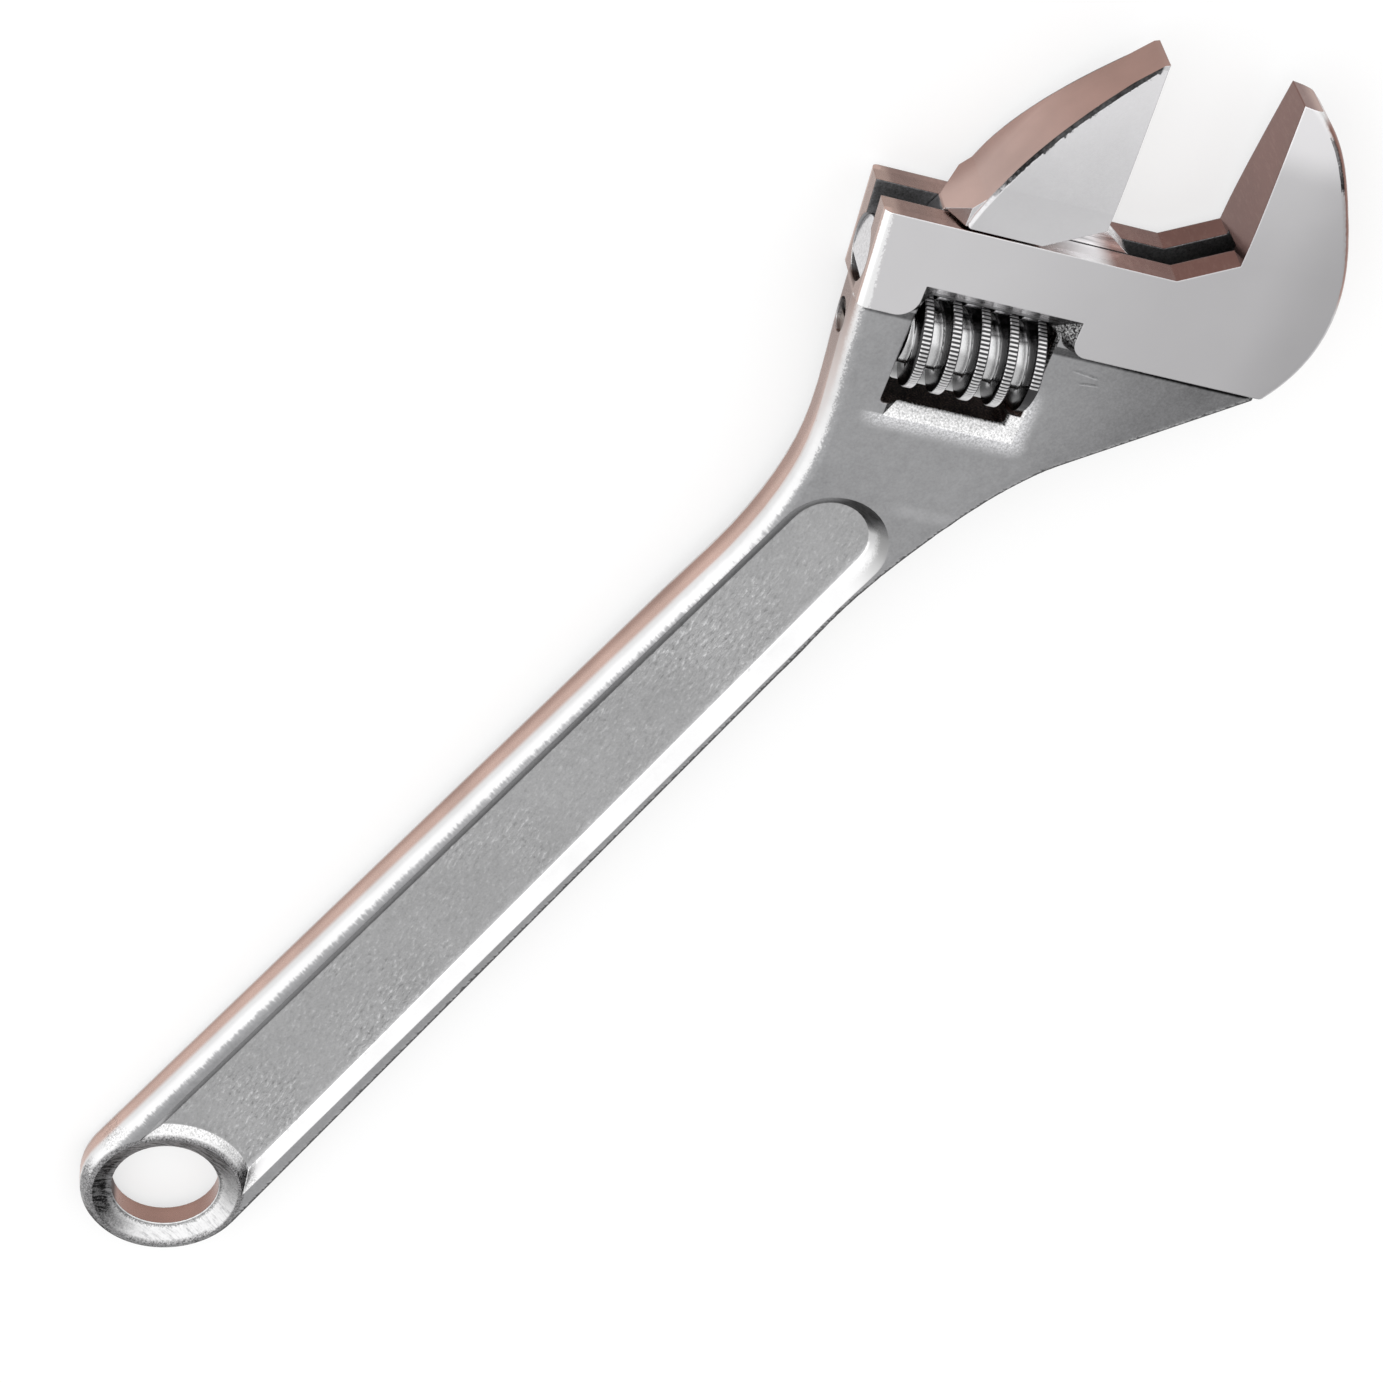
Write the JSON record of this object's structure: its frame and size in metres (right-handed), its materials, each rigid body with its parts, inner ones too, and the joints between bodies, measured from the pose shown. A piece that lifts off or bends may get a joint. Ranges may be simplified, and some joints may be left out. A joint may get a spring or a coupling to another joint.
{
  "type": "adjustable wrench",
  "caption": "Adjustable wrench with an angled head, a fixed jaw, a sliding jaw moved by a knurled worm, and a handle with a recessed panel and a hang hole.",
  "frame": {"origin": "centre of the hang hole, halfway through the handle's thickness", "axes": "+X along the handle towards the head, +Y towards the sliding jaw's side, +Z out of a broad face along the hang hole's axis"},
  "size_m": [0.3771, 0.0913, 0.0224],
  "materials": {
    "forged_plate": "satin plate over forged steel",
    "worm_plate": "bright plate with knurled crests",
    "pin_steel": "plain turned",
    "spring_steel": "drawn wire"
  },
  "bodies": {
    "body": {"wrench_body": "forged_plate", "worm_pin": "pin_steel", "worm_spring": "spring_steel"},
    "jaw": {"sliding_jaw": "forged_plate"},
    "worm": {"adjusting_worm": "worm_plate"}
  },
  "joints": [
    {"name": "jaw_slide", "type": "slide", "parent": "body", "child": "jaw", "axis": [0.3907, -0.9205, 0], "range_m": [-0.0144, 0.0284]},
    {"name": "worm_spin", "type": "hinge", "parent": "body", "child": "worm", "pos_m": [0.27613, 0.00784, 0], "axis": [0.3907, -0.9205, 0], "range_deg": [-1710, 870]}
  ],
  "couplings": [
    {"joint": "worm_spin", "follows": "jaw_slide", "rad_per_m": -1047.2}
  ]
}
